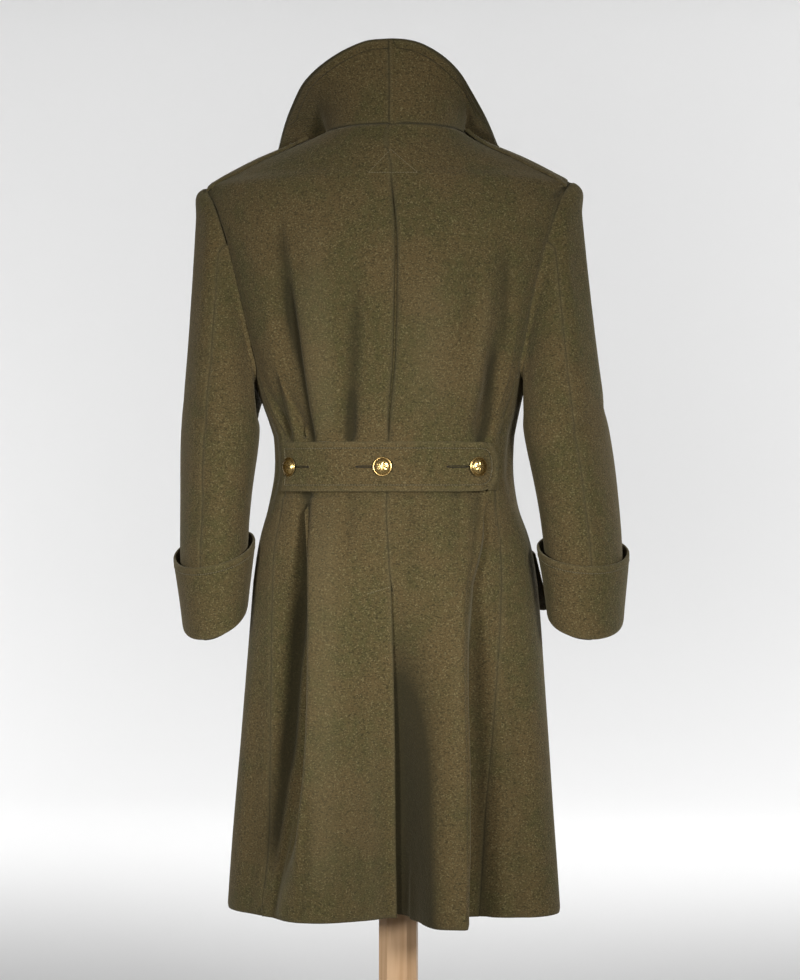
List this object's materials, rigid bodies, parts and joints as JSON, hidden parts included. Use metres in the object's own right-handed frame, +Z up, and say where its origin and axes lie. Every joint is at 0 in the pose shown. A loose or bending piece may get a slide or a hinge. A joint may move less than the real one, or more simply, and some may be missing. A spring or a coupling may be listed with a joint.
{
  "type": "military greatcoat on a dress form stand",
  "caption": "Double-breasted wool military greatcoat with a half belt, turned-back cuffs and a turned-up collar, on a limbless dress form with a timber post and base.",
  "frame": {"origin": "centre of the stand's underside, on the floor", "axes": "+Z up, the coat's back faces -Y and its front +Y, +X towards its wearer's right"},
  "size_m": [0.6045, 0.4, 1.5832],
  "materials": {
    "wool": "olive-brown melton, matt with a short nap",
    "brass": "polished, lightly worn",
    "linen": "plain linen cover",
    "timber": "pale planed timber, satin"
  },
  "bodies": {
    "root": {"back_left": "wool", "back_right": "wool", "base": "timber", "belt_end": "wool", "button_belt_centre": "brass", "button_belt_left": "brass", "button_belt_right": "brass", "button_front_left_1": "brass", "button_front_left_2": "brass", "button_front_left_3": "brass", "button_front_left_4": "brass", "button_front_right_1": "brass", "button_front_right_2": "brass", "button_front_right_3": "brass", "button_front_right_4": "brass", "collar_top": "wool", "collar_under_left": "wool", "collar_under_right": "wool", "cuff_left": "wool", "cuff_right": "wool", "flap_left": "wool", "flap_right": "wool", "form": "linen", "front_left": "wool", "front_right": "wool", "half_belt": "wool", "pleat_underlay": "wool", "post": "timber", "side_left": "wool", "side_right": "wool", "sleeve_left_top": "wool", "sleeve_left_under": "wool", "sleeve_right_top": "wool", "sleeve_right_under": "wool", "strap_left": "wool", "strap_right": "wool"}
  },
  "joints": []
}
